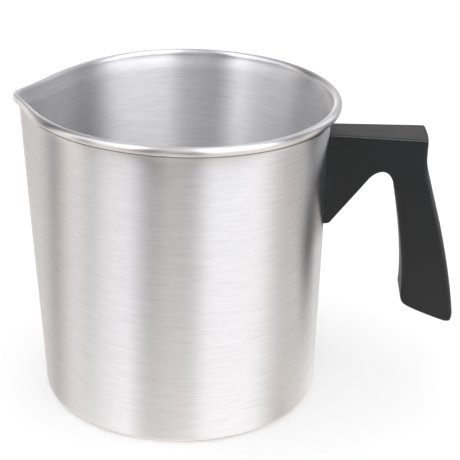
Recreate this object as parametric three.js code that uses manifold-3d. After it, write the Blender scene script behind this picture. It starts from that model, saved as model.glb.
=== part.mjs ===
// Candle melting pot: a drawn aluminium pot with a rolled rim and a pinched pouring spout,
// and a moulded plastic handle that is screwed to a steel bracket riveted to the pot's wall.
// Millimetres, +Z up. The origin is the centre of the base, on the pot's axis.
// The handle points along +X and the spout along -X.
import * as THREE from 'three';
import { mergeVertices } from 'three/addons/utils/BufferGeometryUtils.js';
import Module from 'manifold-3d';

const wasm = await Module();
wasm.setup();

// Driving dimensions of the pot
const POT_HEIGHT = 152.8;
const BASE_RADIUS = 69.6;
const WALL_DRAFT = 0.01;
const SHEET = 1.0;
const BASE_CORNER_RADIUS = 2.5;
const BEAD_RADIUS = 2.2;
const BEAD_OFFSET = 2.85;
const BEAD_CURL_END = -115;
const FLARE_START = 143;
const AROUND = 80;
const WALL_ROWS = 5;
const ROW_CROWDING = 1.8;
const SPOUT_CROWDING = 0.5;

// Driving dimensions of the spout, at the rim
const SPOUT_LIFT = 12.0;
const SPOUT_SPREAD = 12.0;
const SPOUT_TIP_SOFTNESS = 2.7;
const SPOUT_GROWTH = 0.7;
const FLANK_FLATTENING = 3.1;
const FLANK_FULL = 14;
const FLANK_END = 130;
const SPOUT_BEAD_SQUASH = 0.45;
const SPOUT_BEAD_SPAN = 28;
const RIM_DROP = 2.7;
const RIM_DROP_SPAN = 85;
const RIM_DROP_POWER = 6;

// Driving dimensions of the handle
const HANDLE_TOP = 137.4;
const HANDLE_ROOT_BOTTOM = 90.9;
const ARM_END = 118.3;
const GRIP_START = 128.5;
const ROOT_HALF_WIDTH = 8.1;
const GRIP_HALF_WIDTH = 11.2;
const TAPER_START = 63;
const HANDLE_EDGE_RADIUS = 1.2;
const SEAT_AROUND = 144;

// Driving dimensions of the hidden fixing
const GAP = 0.3;
const PLATE = 1.5;
const BRACKET_HALF_WIDTH = 5.5;
const BRACKET_BOTTOM = 98;
const TONGUE_TOP = 127.5;
const TONGUE_END = 98;
const POCKET_TOP = 132.2;
const RIVET_HEIGHTS = { upper: 118, lower: 104 };
const RIVET_RADIUS = 2.0;
const RIVET_HEAD = { radius: 4.0, height: 1.4 };
const RIVET_TAIL = { radius: 3.3, height: 1.3 };
const SCREW_X = 86;
const SCREW_RADIUS = 2.0;
const SCREW_LEDGE = 117;
const SCREW_LENGTH = 16;
const SCREW_HEAD_RADIUS = 4.0;
const SCREW_HEAD_HEIGHT = 2.8;
const LOCK_WASHER_HEIGHT = 1.0;
const NUT_HEIGHT = 3.2;
const NUT_ACROSS_FLATS = 7.0;

const DEGREE = Math.PI / 180;

const finish = (color, roughness, metalness) => (
  new THREE.MeshStandardMaterial({ color, roughness, metalness })
);
const aluminium = () => finish(0xc9cacb, 0.35, 1.0);
const plastic = () => finish(0x2e2e30, 0.6, 0.0);
const steel = () => finish(0xa9abae, 0.4, 1.0);

// ---------------------------------------------------------------- solids

function dropSlivers(geometry) {
  const index = geometry.index.array;
  const kept = [];
  for (let i = 0; i < index.length; i += 3) {
    const [a, b, c] = [index[i], index[i + 1], index[i + 2]];
    if (a !== b && b !== c && c !== a) kept.push(a, b, c);
  }
  geometry.setIndex(kept);
  return geometry;
}

function closed(geometry) {
  const bare = geometry.clone();
  bare.deleteAttribute('normal');
  bare.deleteAttribute('uv');
  return dropSlivers(mergeVertices(bare, 1e-3));
}

function solid(geometry) {
  const bare = closed(geometry);
  const vertProperties = new Float32Array(bare.attributes.position.array);
  const triVerts = new Uint32Array(bare.index.array);
  return new wasm.Manifold(new wasm.Mesh({ numProp: 3, vertProperties, triVerts }));
}

function surface(body) {
  const { vertProperties, triVerts } = body.getMesh();
  const geometry = new THREE.BufferGeometry();
  geometry.setAttribute('position', new THREE.BufferAttribute(vertProperties, 3));
  geometry.setIndex(new THREE.BufferAttribute(triVerts, 1));
  geometry.computeVertexNormals();
  return geometry;
}

function cut(geometry, ...tools) {
  return surface(tools.reduce((body, tool) => body.subtract(solid(tool)), solid(geometry)));
}

// A solid of revolution about Z, from a profile of [radius, height] pairs that starts and
// ends on the axis and keeps the material on its left.
function revolve(profile, segments) {
  const points = profile.map(([radius, height]) => new THREE.Vector2(radius, height));
  return new THREE.LatheGeometry(points, segments).rotateX(Math.PI / 2);
}

function rod(radius, from, to, segments = 32) {
  return revolve([[0, from], [radius, from], [radius, to], [0, to]], segments);
}

// A hole through the wall, or through the bracket against it, for the rivet at a height.
function rivetHole(height) {
  const hole = rod(RIVET_RADIUS + GAP, BASE_RADIUS - 10, BASE_RADIUS + 10);
  return hole.rotateY(Math.PI / 2).translate(0, 0, height);
}

// Points of an arc about [cx, cz], angles in degrees, both ends included.
function arc(cx, cz, radius, from, to, steps) {
  const points = [];
  for (let i = 0; i <= steps; i++) {
    const angle = (from + (to - from) * i / steps) * DEGREE;
    points.push([cx + radius * Math.cos(angle), cz + radius * Math.sin(angle)]);
  }
  return points;
}

// An outline in the XZ plane, extruded equally to both sides of the plane Y = 0.
function plate(outline, halfWidth, steps = 1, bevel = 0) {
  const geometry = new THREE.ExtrudeGeometry(outline, {
    depth: 2 * (halfWidth - bevel),
    steps,
    curveSegments: 8,
    bevelEnabled: bevel > 0,
    bevelThickness: bevel,
    bevelSize: bevel,
    bevelOffset: -bevel,
    bevelSegments: 3,
  });
  return geometry.translate(0, 0, bevel - halfWidth).rotateX(Math.PI / 2);
}

function polygon(points) {
  return new THREE.Shape(points.map(([x, y]) => new THREE.Vector2(x, y)));
}

// ---------------------------------------------------------------- pot

const wallRadius = (z) => BASE_RADIUS + WALL_DRAFT * z;
const smooth = (t) => t * t * (3 - 2 * t);
const fade = (angle, full, end) => {
  const t = Math.min(1, Math.max(0, (Math.abs(angle) - full) / (end - full)));
  return (1 + Math.cos(Math.PI * t)) / 2;
};

// How far the wall stands out of its circle at the rim, by the angle from the spout's middle
// in degrees: a sharp lift at the tip between two flanks that are pulled in a little.
function spoutLift(angle) {
  const soft = Math.hypot(angle, SPOUT_TIP_SOFTNESS) - SPOUT_TIP_SOFTNESS;
  const flattening = FLANK_FLATTENING * fade(angle, FLANK_FULL, FLANK_END);
  return SPOUT_LIFT * Math.exp(-soft / SPOUT_SPREAD) - flattening;
}

// Moves one point of the turned pot to its place on the pinched pot. The pinch starts above
// the base's corner and grows to the rim, and the rim sinks a little towards the spout.
function pinch(x, y, z) {
  const radius = Math.hypot(x, y);
  if (radius < 1e-6) return [0, 0, z];
  const turn = Math.atan2(y, -x);
  const angle = turn - SPOUT_CROWDING * Math.sin(turn);
  const climb = Math.max(0, z - BASE_CORNER_RADIUS) / (POT_HEIGHT - BASE_CORNER_RADIUS);
  const growth = climb ** SPOUT_GROWTH;
  const degrees = angle / DEGREE;
  const plan = wallRadius(z) + growth * spoutLift(degrees);
  const step = 0.01;
  const rise = spoutLift(degrees + step) - spoutLift(degrees - step);
  const lean = Math.atan2(-growth * rise / (2 * step * DEGREE), plan);
  const squash = 1 - SPOUT_BEAD_SQUASH * fade(degrees, 0, SPOUT_BEAD_SPAN);
  const stand = radius - wallRadius(z);
  const offset = stand > 0 ? stand * squash : stand;
  const drop = RIM_DROP * fade(degrees, 0, RIM_DROP_SPAN) * (z / POT_HEIGHT) ** RIM_DROP_POWER;
  return [
    -plan * Math.cos(angle) - offset * Math.cos(angle + lean),
    plan * Math.sin(angle) + offset * Math.sin(angle + lean),
    z - drop,
  ];
}

function pinchAll(geometry) {
  const position = geometry.attributes.position;
  for (let i = 0; i < position.count; i++) {
    position.setXYZ(i, ...pinch(position.getX(i), position.getY(i), position.getZ(i)));
  }
  return geometry;
}

// One side of the sheet where it flares out from the straight wall into the bead.
function flare(from, to, steps) {
  const points = [];
  const top = POT_HEIGHT - BEAD_RADIUS;
  for (let i = 1; i < steps; i++) {
    const z = FLARE_START + (top - FLARE_START) * i / steps;
    points.push([wallRadius(z) + from + (to - from) * smooth(i / steps), z]);
  }
  return points;
}

// One side of the straight wall, in rows that are closer together near the base, where the
// pinch grows fastest.
function wall(side) {
  const points = [];
  for (let i = 1; i <= WALL_ROWS; i++) {
    const climb = (i / WALL_ROWS) ** ROW_CROWDING;
    const z = BASE_CORNER_RADIUS + (FLARE_START - BASE_CORNER_RADIUS) * climb;
    points.push([wallRadius(z) + side, z]);
  }
  return points;
}

function potShell() {
  const beadHeight = POT_HEIGHT - BEAD_RADIUS;
  const beadCentre = wallRadius(beadHeight) + BEAD_OFFSET;
  const cornerCentre = wallRadius(BASE_CORNER_RADIUS) - BASE_CORNER_RADIUS;
  const innerEdge = BEAD_OFFSET - BEAD_RADIUS;
  const profile = [
    [0, 0],
    ...arc(cornerCentre, BASE_CORNER_RADIUS, BASE_CORNER_RADIUS, -90, 0, 3),
    ...wall(0),
    ...flare(0, innerEdge + SHEET, 4),
    ...arc(beadCentre, beadHeight, BEAD_RADIUS - SHEET, 180, BEAD_CURL_END, 8),
    ...arc(beadCentre, beadHeight, BEAD_RADIUS, BEAD_CURL_END, 180, 12),
    ...flare(-SHEET, innerEdge, 4).reverse(),
    ...wall(-SHEET).reverse(),
    ...arc(cornerCentre, BASE_CORNER_RADIUS, BASE_CORNER_RADIUS - SHEET, 0, -90, 3),
    [0, SHEET],
  ];
  return cut(pinchAll(revolve(profile, AROUND)), ...Object.values(RIVET_HEIGHTS).map(rivetHole));
}

// ---------------------------------------------------------------- handle

// Side view of the handle. It runs from the wall along the flat top, down the outside of the
// grip, round the tip, up the inside of the grip, over the arch and down the diagonal web.
function handleOutline() {
  const outline = new THREE.Shape();
  const root = BASE_RADIUS - 4;
  const shoulder = 2;
  outline.moveTo(root, HANDLE_ROOT_BOTTOM);
  outline.lineTo(root, HANDLE_TOP);
  outline.lineTo(ARM_END - shoulder, HANDLE_TOP);
  outline.quadraticCurveTo(ARM_END, HANDLE_TOP, ARM_END, HANDLE_TOP - shoulder);
  outline.lineTo(ARM_END, GRIP_START);
  outline.bezierCurveTo(ARM_END, 121.5, 120.9, 115.5, 122.8, 108);
  outline.bezierCurveTo(126.9, 94.5, 133.1, 74, 137.3, 47);
  outline.bezierCurveTo(138, 42, 136.9, 40.3, 133.4, 41);
  outline.quadraticCurveTo(123.5, 44.2, 113.8, 48.5);
  outline.quadraticCurveTo(110.1, 50.2, 110.5, 54.8);
  outline.bezierCurveTo(110.7, 73, 106.8, 94, 103.2, 111.5);
  outline.bezierCurveTo(101.5, 121.2, 95.6, 121.8, 90.6, 114.9);
  outline.lineTo(74.2, 92.6);
  outline.quadraticCurveTo(72.8, HANDLE_ROOT_BOTTOM, 71, HANDLE_ROOT_BOTTOM);
  return outline;
}

// The handle is thin at the pot and widens evenly to the end of its arm.
function taper(geometry) {
  const position = geometry.attributes.position;
  for (let i = 0; i < position.count; i++) {
    const along = Math.min(1, (position.getX(i) - TAPER_START) / (ARM_END - TAPER_START));
    const halfWidth = ROOT_HALF_WIDTH + (GRIP_HALF_WIDTH - ROOT_HALF_WIDTH) * along;
    position.setY(i, position.getY(i) * halfWidth / GRIP_HALF_WIDTH);
  }
  return geometry;
}

// The pot's wall, grown by a gap, as a tool that leaves the parts against it a curved seat.
function wallTool(gap) {
  const [from, to] = [HANDLE_ROOT_BOTTOM - 10, HANDLE_TOP + 10];
  return revolve([
    [0, from],
    [wallRadius(from) + gap, from],
    [wallRadius(to) + gap, to],
    [0, to],
  ], SEAT_AROUND);
}

function handle() {
  const seat = wallRadius(HANDLE_TOP);
  const insidePot = seat - 5;
  const rivetRoom = seat + GAP + PLATE + GAP + RIVET_TAIL.height + GAP;
  const tongueBottom = TONGUE_TOP - PLATE - GAP;
  const pocket = polygon([
    [insidePot, BRACKET_BOTTOM - GAP],
    [rivetRoom, BRACKET_BOTTOM - GAP],
    [rivetRoom, tongueBottom],
    [TONGUE_END + GAP, tongueBottom],
    [TONGUE_END + GAP, POCKET_TOP],
    [insidePot, POCKET_TOP],
  ]);
  const clearance = rod(SCREW_RADIUS + GAP, SCREW_LEDGE - 1, tongueBottom + 1);
  const recess = rod(SCREW_HEAD_RADIUS + 2 * GAP, HANDLE_ROOT_BOTTOM, SCREW_LEDGE);
  return cut(
    taper(plate(handleOutline(), GRIP_HALF_WIDTH, 1, HANDLE_EDGE_RADIUS)),
    wallTool(GAP),
    plate(pocket, BRACKET_HALF_WIDTH + GAP),
    clearance.translate(SCREW_X, 0, 0),
    recess.translate(SCREW_X, 0, 0),
  );
}

// ---------------------------------------------------------------- bracket and fasteners

// An angle of steel strip: one leg is bowed to lie against the wall, the other is a tongue
// that reaches into the handle.
function handleBracket() {
  const inner = wallRadius(TONGUE_TOP) + GAP;
  const bend = 2;
  const bendCentre = [inner + bend + PLATE, TONGUE_TOP - bend - PLATE];
  const outside = arc(...bendCentre, bend + PLATE, 180, 90, 4);
  const inside = arc(...bendCentre, bend, 90, 180, 4);
  const strip = polygon([
    [inner, BRACKET_BOTTOM],
    ...outside,
    [TONGUE_END, TONGUE_TOP],
    [TONGUE_END, TONGUE_TOP - PLATE],
    ...inside,
    [inner + PLATE, BRACKET_BOTTOM],
  ]);
  const geometry = plate(strip, BRACKET_HALF_WIDTH, 6);
  const position = geometry.attributes.position;
  for (let i = 0; i < position.count; i++) {
    const bow = inner - Math.sqrt(inner * inner - position.getY(i) ** 2);
    position.setX(i, position.getX(i) - bow);
  }
  const rivetHoles = Object.values(RIVET_HEIGHTS).map(rivetHole);
  const screwHole = rod(SCREW_RADIUS + GAP, TONGUE_TOP - 5, TONGUE_TOP + 5);
  return cut(geometry, ...rivetHoles, screwHole.translate(SCREW_X, 0, 0));
}

// A domed rivet head inside the pot, a shank through wall and bracket, and a formed tail.
function rivet(z) {
  const inside = wallRadius(z) - SHEET - GAP;
  const outside = wallRadius(TONGUE_TOP) + GAP + PLATE + GAP;
  const domeRadius = (RIVET_HEAD.radius ** 2 + RIVET_HEAD.height ** 2) / (2 * RIVET_HEAD.height);
  const domeHalfAngle = Math.asin(RIVET_HEAD.radius / domeRadius) / DEGREE;
  const domeCentre = inside - RIVET_HEAD.height + domeRadius;
  const chamfer = 0.5;
  const profile = [
    ...arc(0, domeCentre, domeRadius, -90, domeHalfAngle - 90, 4),
    [RIVET_RADIUS, inside],
    [RIVET_RADIUS, outside],
    [RIVET_TAIL.radius, outside],
    [RIVET_TAIL.radius - chamfer, outside + RIVET_TAIL.height],
    [0, outside + RIVET_TAIL.height],
  ];
  profile[0][0] = 0;
  return revolve(profile, 24).rotateY(Math.PI / 2).translate(0, 0, z);
}

// A pan-head machine screw, pointing up, with a cross recess in its head.
function handleScrew() {
  const seat = SCREW_LEDGE - GAP - LOCK_WASHER_HEIGHT - GAP;
  const face = seat - SCREW_HEAD_HEIGHT;
  const tip = seat + SCREW_LENGTH;
  const edge = 1.4;
  const chamfer = 0.6;
  const profile = [
    [0, face],
    [SCREW_HEAD_RADIUS - edge, face],
    ...arc(SCREW_HEAD_RADIUS - edge, face + edge, edge, -60, 0, 3),
    [SCREW_HEAD_RADIUS, seat],
    [SCREW_RADIUS, seat],
    [SCREW_RADIUS, tip - chamfer],
    [SCREW_RADIUS - chamfer, tip],
    [0, tip],
  ];
  const slot = { length: 4.4, width: 1.0, depth: 1.5 };
  const recess = [0, Math.PI / 2].map((angle) => {
    const box = new THREE.BoxGeometry(slot.length, slot.width, 2 * slot.depth);
    return box.rotateZ(angle).translate(0, 0, face);
  });
  return cut(revolve(profile, 28), ...recess).translate(SCREW_X, 0, 0);
}

// A split ring between the screw's head and the handle.
function lockWasher() {
  const ring = new THREE.Shape();
  const split = 8 * DEGREE;
  const inner = SCREW_RADIUS + GAP;
  const outer = SCREW_HEAD_RADIUS - GAP;
  ring.absarc(0, 0, outer, split, 2 * Math.PI - split, false);
  ring.absarc(0, 0, inner, 2 * Math.PI - split, split, true);
  const options = { depth: LOCK_WASHER_HEIGHT, bevelEnabled: false, curveSegments: 28 };
  const washer = new THREE.ExtrudeGeometry(ring, options);
  return washer.translate(SCREW_X, 0, SCREW_LEDGE - GAP - LOCK_WASHER_HEIGHT);
}

// A hexagon nut welded on top of the bracket's tongue.
function weldNut() {
  const corner = NUT_ACROSS_FLATS / Math.sqrt(3);
  const hexagon = polygon(arc(0, 0, corner, 0, 300, 5));
  const bore = new THREE.Path();
  bore.absarc(0, 0, SCREW_RADIUS + GAP, 0, 2 * Math.PI, true);
  hexagon.holes.push(bore);
  const options = { depth: NUT_HEIGHT, bevelEnabled: false, curveSegments: 24 };
  const nut = new THREE.ExtrudeGeometry(hexagon, options);
  return nut.translate(SCREW_X, 0, TONGUE_TOP + GAP);
}

// ---------------------------------------------------------------- assembly

function piece(name, geometry, material) {
  const mesh = new THREE.Mesh(geometry, material);
  mesh.name = name;
  return mesh;
}

const pot = new THREE.Group();
pot.add(piece('pot_shell', potShell(), aluminium()));
pot.add(piece('handle', handle(), plastic()));
pot.add(piece('handle_bracket', handleBracket(), steel()));
for (const [place, z] of Object.entries(RIVET_HEIGHTS)) {
  pot.add(piece(`bracket_rivet_${place}`, rivet(z), aluminium()));
}
pot.add(piece('handle_screw', handleScrew(), steel()));
pot.add(piece('lock_washer', lockWasher(), steel()));
pot.add(piece('weld_nut', weldNut(), steel()));

export default pot;
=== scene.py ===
# Candle melting pot: a drawn aluminium pot with a rolled rim and a pinched pouring spout,
# and a moulded black plastic handle on a hidden steel bracket.
# Metres, +Z up. The pot stands on Z = 0 with its axis on Z, the spout points along -X and
# the handle along +X.
import math

import bmesh
import bpy
import numpy as np
from mathutils import Matrix, Quaternion, Vector


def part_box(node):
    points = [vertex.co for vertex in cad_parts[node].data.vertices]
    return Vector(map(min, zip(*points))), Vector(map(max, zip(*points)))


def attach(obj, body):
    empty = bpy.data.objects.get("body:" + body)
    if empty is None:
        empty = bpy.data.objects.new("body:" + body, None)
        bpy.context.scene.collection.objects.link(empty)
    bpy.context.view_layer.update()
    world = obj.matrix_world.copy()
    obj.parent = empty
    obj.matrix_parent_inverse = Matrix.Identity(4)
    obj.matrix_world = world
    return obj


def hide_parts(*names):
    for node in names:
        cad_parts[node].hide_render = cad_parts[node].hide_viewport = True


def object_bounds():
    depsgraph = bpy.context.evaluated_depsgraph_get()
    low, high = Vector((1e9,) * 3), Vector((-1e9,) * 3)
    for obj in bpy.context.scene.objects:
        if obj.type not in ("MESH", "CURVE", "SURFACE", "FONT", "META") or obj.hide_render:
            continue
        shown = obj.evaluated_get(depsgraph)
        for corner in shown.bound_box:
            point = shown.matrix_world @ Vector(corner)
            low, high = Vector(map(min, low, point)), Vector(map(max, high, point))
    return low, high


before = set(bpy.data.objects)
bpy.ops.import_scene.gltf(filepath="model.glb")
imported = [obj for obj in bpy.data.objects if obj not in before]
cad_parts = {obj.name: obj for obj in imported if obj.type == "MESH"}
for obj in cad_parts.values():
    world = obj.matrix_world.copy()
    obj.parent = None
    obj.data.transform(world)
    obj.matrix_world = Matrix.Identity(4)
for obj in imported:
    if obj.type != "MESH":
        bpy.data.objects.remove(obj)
cad_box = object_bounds()

MM = 0.001
_, pot_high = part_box("pot_shell")
_, handle_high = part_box("handle")
box_centre = (Vector(cad_box[0]) + Vector(cad_box[1])) / 2

# Pot sizes: the height and the rim's radius come from the frame. The bead is an arc from its inner
# side, at 180 degrees, over the top and down to the angle where the curl ends.
POT_HEIGHT = pot_high[2]
SHEET = 1.0 * MM
WALL_DRAFT = 0.01
BASE_CORNER_RADIUS = 2.5 * MM
BEAD_RADIUS = 2.2 * MM
BEAD_OFFSET = 2.85 * MM
BEAD_CURL_END = -115
BEAD_HEIGHT = POT_HEIGHT - BEAD_RADIUS
BASE_RADIUS = pot_high[0] - BEAD_OFFSET - BEAD_RADIUS - WALL_DRAFT * BEAD_HEIGHT
FLARE_START = POT_HEIGHT - 9.8 * MM

# Painted shade in the crease under the bead: where the crease starts, how far below that the
# shade reaches at the sides, how many times further at the ends, and the length that it fades over.
CREASE_TOP = POT_HEIGHT - 4.5 * MM
CREASE_REACH = 2.0 * MM
CREASE_LONGEST = 2.5
CREASE_FADE = 0.5 * MM

# Steps round the pot, closer together at the spout, and the length of one unit of its UV map
POT_AROUND = 320
SPOUT_CROWDING = 0.5
UV_UNIT = 100 * MM

# Spout, at the rim. Angles are in degrees from the middle of the spout.
SPOUT_LIFT = 12.0 * MM
SPOUT_SPREAD = 12.0
SPOUT_TIP_SOFTNESS = 2.7
SPOUT_GROWTH = 0.7
FLANK_FLATTENING = 3.1 * MM
FLANK_FULL = 14
FLANK_END = 130
SPOUT_BEAD_SQUASH = 0.45
SPOUT_BEAD_SPAN = 28
RIM_DROP = 2.7 * MM
RIM_DROP_SPAN = 85
RIM_DROP_POWER = 6

# Handle sizes: the top and the width come from the frame.
HANDLE_TOP = handle_high[2]
GRIP_HALF_WIDTH = handle_high[1]
ROOT_HALF_WIDTH = GRIP_HALF_WIDTH - 3.1 * MM
HANDLE_ROOT_BOTTOM = HANDLE_TOP - 46.5 * MM
ARM_END = 118.3 * MM
GRIP_START = 128.5 * MM
END_CROWN = 0.7 * MM
SEAT_GAP = 0.05 * MM
TAPER_START = 63 * MM

# Steps of the handle's mesh. Its rounded edge has at most EDGE_SHARE_OF_BEND of the outline's own
# radius, and that radius changes by at most EDGE_GROWTH for each metre along the outline.
SEAT_AROUND = 288
OUTLINE_STEP = 0.7 * MM
FILLET_RINGS = 6
CROWN_STRIPS = 8
EDGE_SHARE_OF_BEND = 0.7
EDGE_GROWTH = 0.25
EDGE_GROWTH_STEPS = 20

# Hidden fixing
GAP = 0.3 * MM
PLATE = 1.5 * MM
BRACKET_HALF_WIDTH = 5.5 * MM
BRACKET_BOTTOM = 98 * MM
TONGUE_TOP = 127.5 * MM
TONGUE_END = 98 * MM
POCKET_TOP = 132.2 * MM
RIVET_HEIGHTS = {"upper": 118 * MM, "lower": 104 * MM}
RIVET_RADIUS = 2 * MM
RIVET_TAIL_HEIGHT = 1.3 * MM
SCREW_X = 86 * MM
SCREW_RADIUS = 2 * MM
SCREW_LEDGE = 117 * MM
SCREW_LENGTH = 16 * MM
SCREW_HEAD_RADIUS = 4 * MM
SCREW_HEAD_HEIGHT = 2.8 * MM
LOCK_WASHER_HEIGHT = 1 * MM

# Camera, about a point a little above the middle of the object's box
CAMERA_AZIMUTH = 1.88
CAMERA_ELEVATION = 24.41
CAMERA_ROLL = 1.55
CAMERA_DISTANCE = 0.669
CAMERA_LENS = 104.5
CAMERA_TARGET = box_centre + Vector((-3.4, 0, 5.2)) * MM

# Studio: soft-edged panels that the metal reflects, as (azimuth from +X in degrees, half width
# in degrees, brightness, warmth), over gaps of one (brightness, warmth). The low panels stand at
# the horizon, and the high ones take over as a direction climbs.
HIGH_PANELS = [
    (318, 30, 2.12, -0.04),
    (276, 20, 0.80, -0.02),
    (228, 7, 2.2, -0.04),
    (202, 32, 1.40, -0.05),
    (50, 8, 2.1, -0.05),
    (343, 12, 0.60, -0.03),
    (90, 25, 0.45, -0.03),
]
LOW_PANELS = [
    (355, 29, 0.60, 0.04),
    (309, 20, 0.66, 0.0),
    (260, 7, 0.42, 0.06),
    (214, 9, 0.77, 0.08),
    (178, 12, 1.00, 0.10),
    (123, 30, 1.10, 0.02),
    (80, 22, 0.63, 0.0),
    (33, 26, 0.30, 0.0),
]
HIGH_GAP = (0.16, -0.06)
LOW_GAP = (0.0, 0.0)
PANEL_EDGE = 7
HIGH_PANELS_FROM = 0.0
HIGH_PANELS_FULL = 0.5

# The table as the metal reflects it: an even glow, and brighter towards two azimuths
TABLE_RADIUS = 0.50
TABLE_OFFSET = 0.20
TABLE_PANELS = [
    (266, 12, 0.20, 0.07),
    (350, 20, 0.18, 0.07),
]
TABLE_GLOW = (0.87, 0.07)

# The floor, and the even light from above that it and the plastic get
FLOOR_HALF = 3.0
FLOOR_LIGHT = 1.30


# ---------------------------------------------------------------- mesh helpers

SQUARE = [(-1, -1), (1, -1), (1, 1), (-1, 1)]


def arc(centre, radius, start, end, steps):
    """Points of an arc about centre, angles in degrees, both ends included."""
    angles = np.radians(np.linspace(start, end, steps + 1))
    return [(centre[0] + radius * math.cos(a), centre[1] + radius * math.sin(a)) for a in angles]


def finish_mesh(name, mesh, sharp_angle):
    """The object for a mesh, smooth except at edges sharper than sharp_angle degrees."""
    mesh.polygons.foreach_set("use_smooth", [True] * len(mesh.polygons))
    mesh.set_sharp_from_angle(angle=math.radians(sharp_angle))
    mesh.update()
    obj = bpy.data.objects.new(name, mesh)
    bpy.context.scene.collection.objects.link(obj)
    return obj


def revolve(name, profile, around, warp=None, sharp_angle=35):
    """A solid of revolution about Z from (radius, height) points that start and end on the axis.

    The UV map runs along the profile in U, in units of UV_UNIT, and round the axis in V.
    """
    profile = np.array(profile)
    lengths = np.hypot(*np.diff(profile, axis=0).T)
    along = np.concatenate([[0], np.cumsum(lengths)]) / UV_UNIT
    turns = np.arange(around) * 2 * math.pi / around
    inner = profile[1:-1]
    radius, height = np.meshgrid(inner[:, 0], turns)[0], np.tile(inner[:, 1], (around, 1))
    x = -radius * np.cos(turns)[:, None]
    y = radius * np.sin(turns)[:, None]
    points = np.stack([x, y, height], axis=-1).reshape(-1, 3)
    poles = [(0, 0, profile[0, 1]), (0, 0, profile[-1, 1])]
    points = np.vstack([points, poles])
    if warp:
        points = warp(points)
    rows = len(inner)
    first_pole, last_pole = around * rows, around * rows + 1
    faces, uvs = [], []
    for j in range(around):
        here, there = j * rows, (j + 1) % around * rows
        v0, v1 = j / around, (j + 1) / around
        faces.append((first_pole, here, there))
        uvs += [(along[0], (v0 + v1) / 2), (along[1], v0), (along[1], v1)]
        for i in range(rows - 1):
            faces.append((here + i, here + i + 1, there + i + 1, there + i))
            low, high = along[i + 1], along[i + 2]
            uvs += [(low, v0), (high, v0), (high, v1), (low, v1)]
        faces.append((here + rows - 1, last_pole, there + rows - 1))
        uvs += [(along[-2], v0), (along[-1], (v0 + v1) / 2), (along[-2], v1)]
    mesh = bpy.data.meshes.new(name)
    mesh.from_pydata(points.tolist(), [], faces)
    layer = mesh.uv_layers.new(name="brushed")
    layer.data.foreach_set("uv", np.array(uvs).ravel())
    return finish_mesh(name, mesh, sharp_angle)


def prism(name, outline, half_width):
    """An (x, z) outline extruded to both sides of the plane Y = 0."""
    count = len(outline)
    front = [(x, -half_width, z) for x, z in outline]
    back = [(x, half_width, z) for x, z in outline]
    faces = [tuple(range(count)), tuple(range(2 * count - 1, count - 1, -1))]
    for i in range(count):
        after = (i + 1) % count
        faces.append((i, i + count, after + count, after))
    mesh = bpy.data.meshes.new(name)
    mesh.from_pydata(front + back, [], faces)
    return finish_mesh(name, mesh, 30)


def apply_modifiers(obj):
    graph = bpy.context.evaluated_depsgraph_get()
    mesh = bpy.data.meshes.new_from_object(obj.evaluated_get(graph))
    obj.modifiers.clear()
    obj.data = mesh


def outward(obj):
    """Makes every face of a closed mesh point outwards."""
    shape = bmesh.new()
    shape.from_mesh(obj.data)
    bmesh.ops.recalc_face_normals(shape, faces=shape.faces)
    shape.to_mesh(obj.data)
    shape.free()


def cut(obj, *tools):
    """Subtracts the tools from obj and removes them."""
    for tool in tools:
        outward(tool)
        modifier = obj.modifiers.new("cut", "BOOLEAN")
        modifier.operation = "DIFFERENCE"
        modifier.solver = "EXACT"
        modifier.object = tool
    apply_modifiers(obj)
    for tool in tools:
        bpy.data.objects.remove(tool)


def turned(obj, axis, degrees, place=(0, 0, 0)):
    """Turns a mesh about an axis through the origin, then moves it."""
    rotation = Quaternion(axis, math.radians(degrees)).to_matrix().to_4x4()
    rotation.translation = place
    obj.data.transform(rotation)
    return obj


def shifted(obj, place):
    """Moves a mesh and leaves its object at the origin."""
    obj.data.transform(Matrix.Translation(place))
    return obj


def rod(radius, start, end, around=64):
    return revolve("tool", [(0, start), (radius, start), (radius, end), (0, end)], around)


# ---------------------------------------------------------------- pot


def wall_radius(z):
    return BASE_RADIUS + WALL_DRAFT * z


def fade(angle, full, end):
    """1 up to the angle full, 0 beyond end, and a smooth fall between them."""
    t = np.clip((np.abs(angle) - full) / (end - full), 0, 1)
    return (1 + np.cos(np.pi * t)) / 2


def spout_lift(angle):
    """How far the rim stands out of its circle: a sharp tip between two pulled-in flanks."""
    soft = np.hypot(angle, SPOUT_TIP_SOFTNESS) - SPOUT_TIP_SOFTNESS
    flattening = FLANK_FLATTENING * fade(angle, FLANK_FULL, FLANK_END)
    return SPOUT_LIFT * np.exp(-soft / SPOUT_SPREAD) - flattening


def pinch(points):
    """Moves the points of the turned pot to their places on the pinched pot."""
    x, y, z = points.T
    radius = np.hypot(x, y)
    turn = np.arctan2(y, -x)
    angle = turn - SPOUT_CROWDING * np.sin(turn)
    climb = np.maximum(0, z - BASE_CORNER_RADIUS) / (POT_HEIGHT - BASE_CORNER_RADIUS)
    growth = climb**SPOUT_GROWTH
    degrees = np.degrees(angle)
    plan = wall_radius(z) + growth * spout_lift(degrees)
    step = 0.01
    rise = spout_lift(degrees + step) - spout_lift(degrees - step)
    lean = np.arctan2(-growth * rise / (2 * math.radians(step)), plan)
    squash = 1 - SPOUT_BEAD_SQUASH * fade(degrees, 0, SPOUT_BEAD_SPAN)
    stand = radius - wall_radius(z)
    offset = np.where(stand > 0, stand * squash, stand)
    drop = RIM_DROP * fade(degrees, 0, RIM_DROP_SPAN) * (z / POT_HEIGHT) ** RIM_DROP_POWER
    moved = np.stack(
        [
            -plan * np.cos(angle) - offset * np.cos(angle + lean),
            plan * np.sin(angle) + offset * np.sin(angle + lean),
            z - drop,
        ],
        axis=-1,
    )
    on_axis = radius < 0.001 * MM
    moved[on_axis] = points[on_axis]
    return moved


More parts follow.
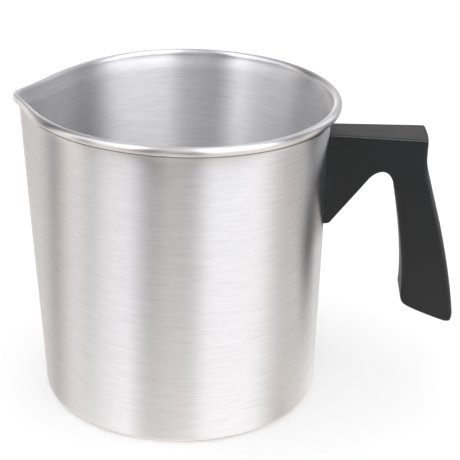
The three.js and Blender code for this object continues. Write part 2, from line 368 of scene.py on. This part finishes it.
def pot_profile():
    """The sheet's section: out along the underside, up the outside, round the bead and back."""
    bead = (wall_radius(BEAD_HEIGHT) + BEAD_OFFSET, BEAD_HEIGHT)
    corner = (wall_radius(BASE_CORNER_RADIUS) - BASE_CORNER_RADIUS, BASE_CORNER_RADIUS)
    base_radii = np.linspace(0, corner[0], 24)[1:-1]
    wall_heights = np.linspace(BASE_CORNER_RADIUS, FLARE_START, 48)[1:]

    def wall(side):
        return [(wall_radius(z) + side, z) for z in wall_heights]

    def flare(start, end):
        """One side of the sheet where it leaves the straight wall for the bead."""
        points = []
        for t in np.linspace(0, 1, 13)[1:-1]:
            z = FLARE_START + (BEAD_HEIGHT - FLARE_START) * t
            points.append((wall_radius(z) + start + (end - start) * t * t * (3 - 2 * t), z))
        return points

    inner_edge = BEAD_OFFSET - BEAD_RADIUS
    return [
        (0, 0),
        *[(r, 0) for r in base_radii],
        *arc(corner, BASE_CORNER_RADIUS, -90, 0, 10),
        *wall(0),
        *flare(0, inner_edge + SHEET),
        *arc(bead, BEAD_RADIUS - SHEET, 180, BEAD_CURL_END, 24),
        *arc(bead, BEAD_RADIUS, BEAD_CURL_END, 180, 40),
        *flare(-SHEET, inner_edge)[::-1],
        *wall(-SHEET)[::-1],
        *arc(corner, BASE_CORNER_RADIUS - SHEET, 0, -90, 10),
        *[(r, SHEET) for r in base_radii[::-1]],
        (0, SHEET),
    ]


def crease_span():
    """Where the crease under the bead starts and ends, in metres along the section."""
    profile = np.array(pot_profile())
    lengths = np.hypot(*np.diff(profile, axis=0).T)
    along = np.concatenate([[0], np.cumsum(lengths)])
    bead = (wall_radius(BEAD_HEIGHT) + BEAD_OFFSET, BEAD_HEIGHT)
    inside_curl = np.hypot(*(profile - bead).T) < BEAD_RADIUS - SHEET / 2
    start = np.argmax(profile[:, 1] > CREASE_TOP)
    end = np.flatnonzero(inside_curl)[-1]
    return float(along[start]), float(along[end])


def make_pot():
    pot = revolve("pot_body", pot_profile(), POT_AROUND, warp=pinch)
    holes = []
    for height in RIVET_HEIGHTS.values():
        hole = rod(RIVET_RADIUS + GAP, BASE_RADIUS - 10 * MM, BASE_RADIUS + 10 * MM)
        holes.append(turned(hole, (0, 1, 0), 90, (0, 0, height)))
    cut(pot, *holes)
    return pot


# ---------------------------------------------------------------- handle


def curve(*points, steps=24):
    """Points of a Bezier curve of any degree, without the last one."""
    points = np.array(points)
    degree = len(points) - 1
    t = np.linspace(0, 1, steps + 1)[:-1, None]
    weights = [math.comb(degree, k) * (1 - t) ** (degree - k) * t**k for k in range(degree + 1)]
    return sum(weight * point for weight, point in zip(weights, points))


def handle_outline():
    """The side view, clockwise from the wall, with the radius of the rounded edge at each point.

    Each section is its edge's radius and the points that steer its curve, all in millimetres.
    """
    root = BASE_RADIUS / MM - 4
    bottom, top = HANDLE_ROOT_BOTTOM / MM, HANDLE_TOP / MM
    end, grip = ARM_END / MM, GRIP_START / MM
    shoulder = 2
    sections = [
        (1.0, curve((root, bottom), (root, top))),
        (1.0, curve((root, top), (end - shoulder, top))),
        (1.2, curve((end - shoulder, top), (end, top), (end, top - shoulder))),
        (2.2, curve((end, top - shoulder), (end, grip))),
        (2.2, curve((end, grip), (end, 121.5), (120.9, 115.5), (122.8, 108))),
        (2.2, curve((122.8, 108), (126.9, 94.5), (133.1, 74), (137.3, 47), steps=48)),
        (1.4, curve((137.3, 47), (138, 42), (136.9, 40.3), (133.4, 41))),
        (0.9, curve((133.4, 41), (123.5, 44.2), (113.8, 48.5))),
        (1.2, curve((113.8, 48.5), (110.1, 50.2), (110.5, 54.8))),
        (3.0, curve((110.5, 54.8), (110.7, 73), (106.8, 94), (103.2, 111.5), steps=48)),
        (1.4, curve((103.2, 111.5), (101.5, 121.2), (95.6, 121.8), (90.6, 114.9))),
        (1.0, curve((90.6, 114.9), (74.2, 92.6))),
        (0.8, curve((74.2, 92.6), (72.8, bottom), (71, bottom))),
        (0.8, curve((71, bottom), (root, bottom))),
    ]
    points = np.vstack([section for _, section in sections]) * MM
    radii = np.concatenate([[radius] * len(section) for radius, section in sections]) * MM
    return even_outline(points, radii)


def even_outline(points, radii):
    """The closed outline at even steps, its outward normals, and the radius of its edge.

    The radius shrinks before tight corners, so that the rounded edge never folds over itself.
    """
    closed = np.vstack([points, points[:1]])
    lengths = np.concatenate([[0], np.cumsum(np.hypot(*np.diff(closed, axis=0).T))])
    count = int(lengths[-1] / OUTLINE_STEP)
    stops = np.arange(count) * lengths[-1] / count
    even = np.stack([np.interp(stops, lengths, closed[:, k]) for k in (0, 1)], axis=-1)
    radius = np.interp(stops, lengths, np.append(radii, radii[0]))
    ahead = np.roll(even, -1, axis=0) - np.roll(even, 1, axis=0)
    ahead /= np.hypot(*ahead.T)[:, None]
    normal = np.stack([-ahead[:, 1], ahead[:, 0]], axis=-1)
    heading = np.unwrap(np.arctan2(ahead[:, 1], ahead[:, 0]))
    bend = -(np.roll(heading, -2) - np.roll(heading, 2)) / (4 * OUTLINE_STEP)
    # The heading jumps by a full turn where the outline closes, at a corner that is cut away.
    bend[:2] = bend[-2:] = 0
    radius = np.minimum(radius, EDGE_SHARE_OF_BEND / np.maximum(bend, 1))
    for _ in range(EDGE_GROWTH_STEPS):
        for side in (-1, 1):
            radius = np.minimum(radius, np.roll(radius, side) + EDGE_GROWTH * OUTLINE_STEP)
    return even, normal, radius


def taper(points):
    """The handle is thin at the pot and widens evenly to the end of its arm."""
    along = np.minimum(1, (points[:, 0] - TAPER_START) / (ARM_END - TAPER_START))
    half_width = ROOT_HALF_WIDTH + (GRIP_HALF_WIDTH - ROOT_HALF_WIDTH) * along
    points[:, 1] *= half_width / GRIP_HALF_WIDTH
    return points


def handle_blank():
    """The moulding before it is cut to fit the pot: two flat sides joined by a rounded edge."""
    outline, normal, radius = handle_outline()
    count = len(outline)
    fillet = []
    for turn in np.linspace(0, math.pi / 2, FILLET_RINGS + 1):
        flat = outline - normal * (radius * (1 - math.sin(turn)))[:, None]
        fillet.append((flat, GRIP_HALF_WIDTH - radius * (1 - math.cos(turn))))
    edge = GRIP_HALF_WIDTH - radius
    front = [(flat, -y) for flat, y in fillet]
    middle = [(outline, edge * t) for t in np.linspace(-1, 1, CROWN_STRIPS + 1)[1:-1]]
    crown = END_CROWN * np.maximum(0, normal[:, 0]) ** 2
    points = []
    for flat, y in front + middle + fillet[::-1]:
        pulled_in = crown * (y / GRIP_HALF_WIDTH) ** 2
        points.append(np.stack([flat[:, 0] - pulled_in, y, flat[:, 1]], axis=-1))
    shape = bmesh.new()
    verts = [[shape.verts.new(p) for p in ring] for ring in points]
    for here, there in zip(verts, verts[1:]):
        for i in range(count):
            after = (i + 1) % count
            shape.faces.new((here[i], here[after], there[after], there[i]))
    shape.faces.new(verts[0])
    shape.faces.new(verts[-1][::-1])
    # The flat sides bend where the taper ends, so they are split there.
    for x in (ARM_END - 1.5 * MM, ARM_END, ARM_END + 1.5 * MM):
        geometry = shape.verts[:] + shape.edges[:] + shape.faces[:]
        bmesh.ops.bisect_plane(shape, geom=geometry, plane_co=(x, 0, 0), plane_no=(1, 0, 0))
    bmesh.ops.recalc_face_normals(shape, faces=shape.faces)
    mesh = bpy.data.meshes.new("handle_moulding")
    shape.to_mesh(mesh)
    shape.free()
    coordinates = np.empty(len(mesh.vertices) * 3)
    mesh.vertices.foreach_get("co", coordinates)
    mesh.vertices.foreach_set("co", taper(coordinates.reshape(-1, 3)).ravel())
    return finish_mesh("handle_moulding", mesh, 35)


def wall_tool():
    """The pot's wall, grown by the gap, which leaves the handle its curved seat."""
    low, high = HANDLE_ROOT_BOTTOM - 10 * MM, HANDLE_TOP + 10 * MM
    profile = [
        (0, low),
        (wall_radius(low) + SEAT_GAP, low),
        (wall_radius(high) + SEAT_GAP, high),
        (0, high),
    ]
    return revolve("tool", profile, SEAT_AROUND)


def pocket_tool():
    """The room for the bracket, open towards the pot."""
    wall = wall_radius(HANDLE_TOP)
    rivet_room = wall + GAP + PLATE + GAP + RIVET_TAIL_HEIGHT + GAP
    tongue_bottom = TONGUE_TOP - PLATE - GAP
    outline = [
        (wall - 5 * MM, BRACKET_BOTTOM - GAP),
        (rivet_room, BRACKET_BOTTOM - GAP),
        (rivet_room, tongue_bottom),
        (TONGUE_END + GAP, tongue_bottom),
        (TONGUE_END + GAP, POCKET_TOP),
        (wall - 5 * MM, POCKET_TOP),
    ]
    return prism("tool", outline, BRACKET_HALF_WIDTH + GAP)


def make_handle():
    handle = handle_blank()
    tongue_bottom = TONGUE_TOP - PLATE - GAP
    clearance = rod(SCREW_RADIUS + GAP, SCREW_LEDGE - MM, tongue_bottom + MM)
    recess = rod(SCREW_HEAD_RADIUS + 2 * GAP, HANDLE_ROOT_BOTTOM, SCREW_LEDGE)
    place = (SCREW_X, 0, 0)
    cut(handle, wall_tool(), pocket_tool(), shifted(clearance, place), shifted(recess, place))
    handle.data.set_sharp_from_angle(angle=math.radians(35))
    handle.modifiers.new("flat_sides", "WEIGHTED_NORMAL").keep_sharp = True
    return handle


# ---------------------------------------------------------------- fasteners


def make_rivet(place, height):
    """A domed head inside the pot, a shank through wall and bracket, and a formed tail."""
    inside = wall_radius(height) - SHEET - GAP
    outside = wall_radius(TONGUE_TOP) + GAP + PLATE + GAP
    head_radius, head_height = 4 * MM, 1.4 * MM
    tail_radius, tail_edge = 3.3 * MM, 0.5 * MM
    tail_end = outside + RIVET_TAIL_HEIGHT
    dome_radius = (head_radius**2 + head_height**2) / (2 * head_height)
    dome_half_angle = math.degrees(math.asin(head_radius / dome_radius))
    dome = arc((0, inside - head_height + dome_radius), dome_radius, -90, dome_half_angle - 90, 16)
    profile = [
        (0, dome[0][1]),
        *dome[1:],
        (RIVET_RADIUS, inside),
        (RIVET_RADIUS, outside),
        (tail_radius, outside),
        *arc((tail_radius - tail_edge, tail_end - tail_edge), tail_edge, 0, 90, 5),
        (0, tail_end),
    ]
    rivet = revolve(f"rivet_{place}", profile, 48)
    return turned(rivet, (0, 1, 0), 90, (0, 0, height))


def make_screw():
    """A pan-head machine screw that points up, with a cross recess in its head."""
    seat = SCREW_LEDGE - GAP - LOCK_WASHER_HEIGHT - GAP
    face = seat - SCREW_HEAD_HEIGHT
    edge = 1.4 * MM
    chamfer = 0.6 * MM
    tip = seat + SCREW_LENGTH
    profile = [
        (0, face),
        *arc((SCREW_HEAD_RADIUS - edge, face + edge), edge, -90, 0, 8),
        (SCREW_HEAD_RADIUS, seat),
        (SCREW_RADIUS, seat),
        (SCREW_RADIUS, tip - chamfer),
        (SCREW_RADIUS - chamfer, tip),
        (0, tip),
    ]
    screw = revolve("screw", profile, 48)
    depth, slot_half_length, slot_half_width = 1.5 * MM, 2.2 * MM, 0.5 * MM
    outline = [(slot_half_length * x, face + depth * z) for x, z in SQUARE]
    slots = [turned(prism("tool", outline, slot_half_width), (0, 0, 1), angle) for angle in (0, 90)]
    cut(screw, *slots)
    return shifted(screw, (SCREW_X, 0, 0))


# ---------------------------------------------------------------- materials


class Nodes:
    """A short way to add and join the nodes of one material or world."""

    def __init__(self, tree):
        self.tree = tree
        tree.nodes.clear()

    def add(self, kind, inputs=None, **settings):
        node = self.tree.nodes.new(kind)
        for key, value in settings.items():
            setattr(node, key, value)
        for key, value in (inputs or {}).items():
            if isinstance(value, bpy.types.NodeSocket):
                self.tree.links.new(value, node.inputs[key])
            else:
                node.inputs[key].default_value = value
        return node

    def noise(self, vector, scale, detail=2.0, roughness=0.5):
        inputs = {"Vector": vector, "Scale": scale, "Detail": detail, "Roughness": roughness}
        return self.add("ShaderNodeTexNoise", inputs).outputs["Fac"]

    def remap(self, value, low, high, to_low=0.0, to_high=1.0):
        inputs = {0: value, 1: low, 2: high, 3: to_low, 4: to_high}
        return self.add("ShaderNodeMapRange", inputs).outputs[0]

    def spread(self, noise, low=0.0, high=1.0):
        """Noise stays near the middle of 0 to 1: this stretches it to run from low to high."""
        return self.remap(noise, 0.3, 0.7, low, high)

    def bump(self, height, strength, distance):
        inputs = {"Strength": strength, "Distance": distance, "Height": height}
        return self.add("ShaderNodeBump", inputs).outputs[0]

    def blend(self, factor, first, second):
        node = self.add("ShaderNodeMix", {0: factor, 6: first, 7: second}, data_type="RGBA")
        return node.outputs[2]

    def math(self, operation, first, second):
        return self.add("ShaderNodeMath", {0: first, 1: second}, operation=operation).outputs[0]


def new_material(name):
    material = bpy.data.materials.new(name)
    material.use_nodes = True
    return material, Nodes(material.node_tree)


def grey(level, warmth=0.0):
    """A colour of one brightness, a little towards orange or, below 0, towards blue."""
    return (level * (1 + warmth), level, level * (1 - warmth), 1)


def drawn_streaks(nodes, xyz, across, length, width, detail):
    """Noise drawn out round the pot. The length and the width of one streak are in metres."""
    stretched = {
        "X": nodes.math("MULTIPLY", xyz["X"], 1 / length),
        "Y": nodes.math("MULTIPLY", xyz["Y"], 1 / length),
        "Z": nodes.math("MULTIPLY", across, 1 / width),
    }
    vector = nodes.add("ShaderNodeCombineXYZ", stretched).outputs[0]
    return nodes.noise(vector, 1.0, detail, 0.6)


def crease_shade_mask(nodes, xyz, across):
    """Painted shade: 1 in the crease under the bead, further down the wall at both ends."""
    start, end = crease_span()
    x_squared = nodes.math("POWER", xyz["X"], 2.0)
    y_squared = nodes.math("POWER", xyz["Y"], 2.0)
    radius = nodes.math("SQRT", nodes.math("ADD", x_squared, y_squared), 0.0)
    sideways = nodes.math("DIVIDE", radius, nodes.math("ABSOLUTE", xyz["Y"], 0.0))
    reach = nodes.math("MULTIPLY", nodes.math("MINIMUM", sideways, CREASE_LONGEST), CREASE_REACH)
    below = nodes.remap(nodes.math("ADD", across, reach), start, start + CREASE_FADE)
    above = nodes.remap(across, end, end + CREASE_FADE, 1.0, 0.0)
    past_spout = nodes.remap(xyz["X"], -BASE_RADIUS + 2 * MM, -BASE_RADIUS + 8 * MM)
    return nodes.math("MULTIPLY", nodes.math("MULTIPLY", below, above), past_spout)


def brushed_aluminium():
    """Sheet brushed round its axis: fine broken streaks, and highlights drawn out across them.

    The rolled bead is smoother and duller than the wall. The crease under it carries painted
    shade, which is darkest near the spout.
    """
    material, nodes = new_material("brushed_aluminium")
    place = nodes.add("ShaderNodeTexCoord").outputs["Object"]
    xyz = nodes.add("ShaderNodeSeparateXYZ", {0: place}).outputs
    uv = nodes.add("ShaderNodeUVMap", uv_map="brushed").outputs["UV"]
    along_section = nodes.add("ShaderNodeSeparateXYZ", {0: uv}).outputs["X"]
    across = nodes.math("MULTIPLY", along_section, UV_UNIT)
    to_bead = nodes.remap(xyz["Z"], BEAD_HEIGHT - 2 * BEAD_RADIUS, BEAD_HEIGHT)

    fine = drawn_streaks(nodes, xyz, across, 12 * MM, 0.34 * MM, 1.5)
    broad = drawn_streaks(nodes, xyz, across, 30 * MM, 2.4 * MM, 2.0)
    scratches = drawn_streaks(nodes, xyz, across, 16 * MM, 0.55 * MM, 0.0)
    both = nodes.math("ADD", nodes.math("MULTIPLY", fine, 0.8), nodes.math("MULTIPLY", broad, 0.2))
    brushed = nodes.blend(nodes.remap(both, 0.35, 0.65), grey(0.875), grey(0.975))
    scratched = nodes.blend(nodes.remap(scratches, 0.68, 0.78, 0.0, 0.35), brushed, grey(0.70))
    dulled = nodes.blend(nodes.math("MULTIPLY", to_bead, 0.8), scratched, grey(0.79, 0.01))
    # Painted shade in the crease under the bead, darker towards the spout
    from_spout = nodes.remap(xyz["X"], -BASE_RADIUS, 0.0)
    painted_crease_shade = nodes.blend(from_spout, grey(0.14, 0.10), grey(0.30, 0.10))
    colour = nodes.blend(crease_shade_mask(nodes, xyz, across), dulled, painted_crease_shade)

    on_wall = nodes.math("SUBTRACT", 1.0, to_bead)
    wall_roughness = nodes.math("MULTIPLY", nodes.spread(broad, 0.48, 0.52), on_wall)
    bead_roughness = nodes.math("MULTIPLY", nodes.spread(broad, 0.31, 0.35), to_bead)
    shader = nodes.add(
        "ShaderNodeBsdfPrincipled",
        {
            "Base Color": colour,
            "Metallic": 1.0,
            "Roughness": nodes.math("ADD", wall_roughness, bead_roughness),
            "Anisotropic": 0.97,
            "Normal": nodes.bump(fine, 0.4, 0.05 * MM),
            "Tangent": nodes.add(
                "ShaderNodeTangent", direction_type="UV_MAP", uv_map="brushed"
            ).outputs[0],
        },
    )
    nodes.add("ShaderNodeOutputMaterial", {"Surface": shader.outputs[0]})
    return material


def moulded_plastic():
    """Black plastic from a finely eroded mould.

    The upper edges carry a painted highlight, and the flat top is painted lighter as if lit from
    above, with a painted dark line of shade between them.
    """
    material, nodes = new_material("moulded_black_plastic")
    coordinates = nodes.add("ShaderNodeTexCoord").outputs
    grain = nodes.noise(coordinates["Object"], 2600.0, 2.0, 0.6)
    cloud = nodes.noise(coordinates["Object"], 60.0, 3.0, 0.5)
    upward = nodes.add("ShaderNodeSeparateXYZ", {0: coordinates["Normal"]}).outputs["Z"]
    # The plastic's own colour, which also forms a painted dark shade line between edge and top
    plain_plastic_and_shade_line = nodes.blend(nodes.spread(grain), grey(0.010, -0.12), grey(0.016, -0.10))
    # Painted highlight on the rounded upper edges, where the normal leans partly upwards
    edge_start = nodes.remap(upward, 0.10, 0.30)
    edge_end = nodes.remap(upward, 0.60, 0.78, 1.0, 0.0)
    painted_edge_highlight = nodes.blend(nodes.math("MULTIPLY", edge_start, edge_end), plain_plastic_and_shade_line, grey(0.075, -0.05))
    # Painted light: the upward flat top is lighter, as if lit from above, over a cloudy random tone
    painted_top_light = nodes.blend(nodes.spread(cloud), grey(0.034, 0.05), grey(0.042, 0.03))
    shader = nodes.add(
        "ShaderNodeBsdfPrincipled",
        {
            # Between the edge highlight and the lit top the plain colour stays: a painted line of
            # shade
            "Base Color": nodes.blend(nodes.remap(upward, 0.98, 0.997), painted_edge_highlight, painted_top_light),
            "Roughness": nodes.spread(cloud, 0.46, 0.54),
            "Specular IOR Level": 0.4,
            "Normal": nodes.bump(grain, 0.35, 0.03 * MM),
        },
    )
    nodes.add("ShaderNodeOutputMaterial", {"Surface": shader.outputs[0]})
    return material


def spangled_metal(name, level):
    """Plated or bare metal of one brightness with a faint spangle."""
    material, nodes = new_material(name)
    place = nodes.add("ShaderNodeTexCoord").outputs["Object"]
    spangle = nodes.noise(place, 900.0, 3.0, 0.6)
    shader = nodes.add(
        "ShaderNodeBsdfPrincipled",
        {
            "Base Color": nodes.blend(spangle, grey(level * 0.85), grey(level * 1.1)),
            "Metallic": 1.0,
            "Roughness": nodes.spread(spangle, 0.28, 0.42),
            "Normal": nodes.bump(spangle, 0.2, 0.02 * MM),
        },
    )
    nodes.add("ShaderNodeOutputMaterial", {"Surface": shader.outputs[0]})
    return material


def floor_paper():
    material, nodes = new_material("floor_paper")
    place = nodes.add("ShaderNodeTexCoord").outputs["Object"]
    fibre = nodes.noise(place, 400.0, 2.0, 0.5)
    colour = nodes.blend(fibre, grey(0.89), grey(0.91))
    shader = nodes.add("ShaderNodeBsdfDiffuse", {"Color": colour})
    nodes.add("ShaderNodeOutputMaterial", {"Surface": shader.outputs[0]})
    return material


# ---------------------------------------------------------------- studio


def light(level, warmth):
    """The colour of a light of one brightness, a little towards pink or, below 0, towards blue."""
    red = level * (1 + max(warmth, 0))
    blue = level * (1 - min(warmth, warmth / 2))
    return (red, level, blue, 1)


def panel_light(nodes, direction, panels, gap):
    """The light at each azimuth of a direction: soft panels over darker gaps."""
    xyz = nodes.add("ShaderNodeSeparateXYZ", {0: direction}).outputs
    radians = nodes.math("ARCTAN2", xyz["Y"], xyz["X"])
    azimuth = nodes.math("MULTIPLY", radians, math.degrees(1))
    seen = light(*gap)
    for centre, half_width, strength, warmth in panels:
        turn = nodes.math("SUBTRACT", azimuth, centre)
        inputs = {0: turn, 1: 180.0, 2: -180.0}
        wrapped = nodes.add("ShaderNodeMath", inputs, operation="WRAP").outputs[0]
        away = nodes.math("ABSOLUTE", wrapped, 0.0)
        inputs = {0: away, 1: half_width - PANEL_EDGE, 2: half_width + PANEL_EDGE, 3: 1.0, 4: 0.0}
        inside = nodes.add("ShaderNodeMapRange", inputs, interpolation_type="SMOOTHSTEP").outputs[0]
        sockets = {0: inside, 6: seen, 7: light(strength, warmth)}
        seen = nodes.add("ShaderNodeMix", sockets, data_type="RGBA", blend_type="ADD").outputs[2]
    return seen


def make_world():
    """Reflections see soft panels with gaps between them. The floor gets even light from above."""
    world = bpy.data.worlds.new("studio")
    world.use_nodes = True
    world.cycles.sampling_method = "NONE"
    bpy.context.scene.world = world
    nodes = Nodes(world.node_tree)
    direction = nodes.add("ShaderNodeTexCoord").outputs["Generated"]
    xyz = nodes.add("ShaderNodeSeparateXYZ", {0: direction}).outputs
    high = panel_light(nodes, direction, HIGH_PANELS, HIGH_GAP)
    low = panel_light(nodes, direction, LOW_PANELS, LOW_GAP)
    inputs = {0: xyz["Z"], 1: HIGH_PANELS_FROM, 2: HIGH_PANELS_FULL, 3: 0.0, 4: 1.0}
    height = nodes.add("ShaderNodeMapRange", inputs, interpolation_type="SMOOTHSTEP").outputs[0]
    panels = nodes.blend(height, low, high)
    path = nodes.add("ShaderNodeLightPath").outputs
    lit = nodes.blend(path["Is Diffuse Ray"], panels, grey(FLOOR_LIGHT))
    seen = nodes.blend(path["Is Camera Ray"], lit, grey(1.0))
    background = nodes.add("ShaderNodeBackground", {"Color": seen, "Strength": 1.0})
    nodes.add("ShaderNodeOutputWorld", {"Surface": background.outputs[0]})


def make_table():
    """The bright table top under the pot as the metal reflects it. Nothing else sees it."""
    shape = bmesh.new()
    bmesh.ops.create_circle(shape, cap_ends=True, radius=TABLE_RADIUS, segments=96)
    bmesh.ops.translate(shape, verts=shape.verts, vec=(0, TABLE_OFFSET, 0))
    mesh = bpy.data.meshes.new("table_reflection")
    shape.to_mesh(mesh)
    shape.free()
    table = bpy.data.objects.new("table_reflection", mesh)
    bpy.context.scene.collection.objects.link(table)
    table.location.z = -0.1 * MM
    table.visible_camera = False
    table.visible_diffuse = False
    table.visible_shadow = False
    table.visible_transmission = False
    material, nodes = new_material("table_glow")
    place = nodes.add("ShaderNodeTexCoord").outputs["Object"]
    seen = panel_light(nodes, place, TABLE_PANELS, TABLE_GLOW)
    glow = nodes.add("ShaderNodeEmission", {"Color": seen})
    nodes.add("ShaderNodeOutputMaterial", {"Surface": glow.outputs[0]})
    mesh.materials.append(material)


def make_floor():
    """Pale paper, which shows the pot's soft shadow. The metal reflects the table instead."""
    mesh = bpy.data.meshes.new("floor")
    corners = [(FLOOR_HALF * x, FLOOR_HALF * y, 0) for x, y in SQUARE]
    mesh.from_pydata(corners, [], [(0, 1, 2, 3)])
    floor = bpy.data.objects.new("floor", mesh)
    bpy.context.scene.collection.objects.link(floor)
    floor.location.z = -0.05 * MM
    floor.visible_glossy = False
    floor.data.materials.append(floor_paper())


def make_camera():
    azimuth, elevation = math.radians(CAMERA_AZIMUTH), math.radians(CAMERA_ELEVATION)
    towards = Vector(
        (
            math.sin(azimuth) * math.cos(elevation),
            -math.cos(azimuth) * math.cos(elevation),
            math.sin(elevation),
        )
    )
    data = bpy.data.cameras.new("camera")
    data.lens = CAMERA_LENS
    data.sensor_width = 36
    data.clip_start = 0.01
    camera = bpy.data.objects.new("camera", data)
    bpy.context.scene.collection.objects.link(camera)
    camera.location = CAMERA_TARGET + towards * CAMERA_DISTANCE
    roll = Quaternion((0, 0, 1), math.radians(CAMERA_ROLL))
    camera.rotation_mode = "QUATERNION"
    camera.rotation_quaternion = towards.to_track_quat("Z", "Y") @ roll
    bpy.context.scene.camera = camera


# ---------------------------------------------------------------- assembly


def install(obj, node, material):
    """Puts a finished piece in its CAD node's place."""
    obj.data.materials.clear()
    obj.data.materials.append(material)
    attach(obj, "root")
    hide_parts(node)


def refinish(node, material):
    """Gives a CAD node that stays as it is a better material."""
    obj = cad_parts[node]
    for slot in obj.material_slots:
        slot.link = "OBJECT"
        slot.material = material


make_camera()
make_world()
make_floor()
make_table()

zinc = spangled_metal("zinc_plated_steel", 0.62)
rivet_metal = spangled_metal("rivet_aluminium", 0.82)
install(make_pot(), "pot_shell", brushed_aluminium())
install(make_handle(), "handle", moulded_plastic())
for level, height in RIVET_HEIGHTS.items():
    install(make_rivet(level, height), f"bracket_rivet_{level}", rivet_metal)
install(make_screw(), "handle_screw", zinc)
for node in ("handle_bracket", "lock_washer", "weld_nut"):
    refinish(node, zinc)

bpy.context.scene.view_settings.view_transform = "Standard"
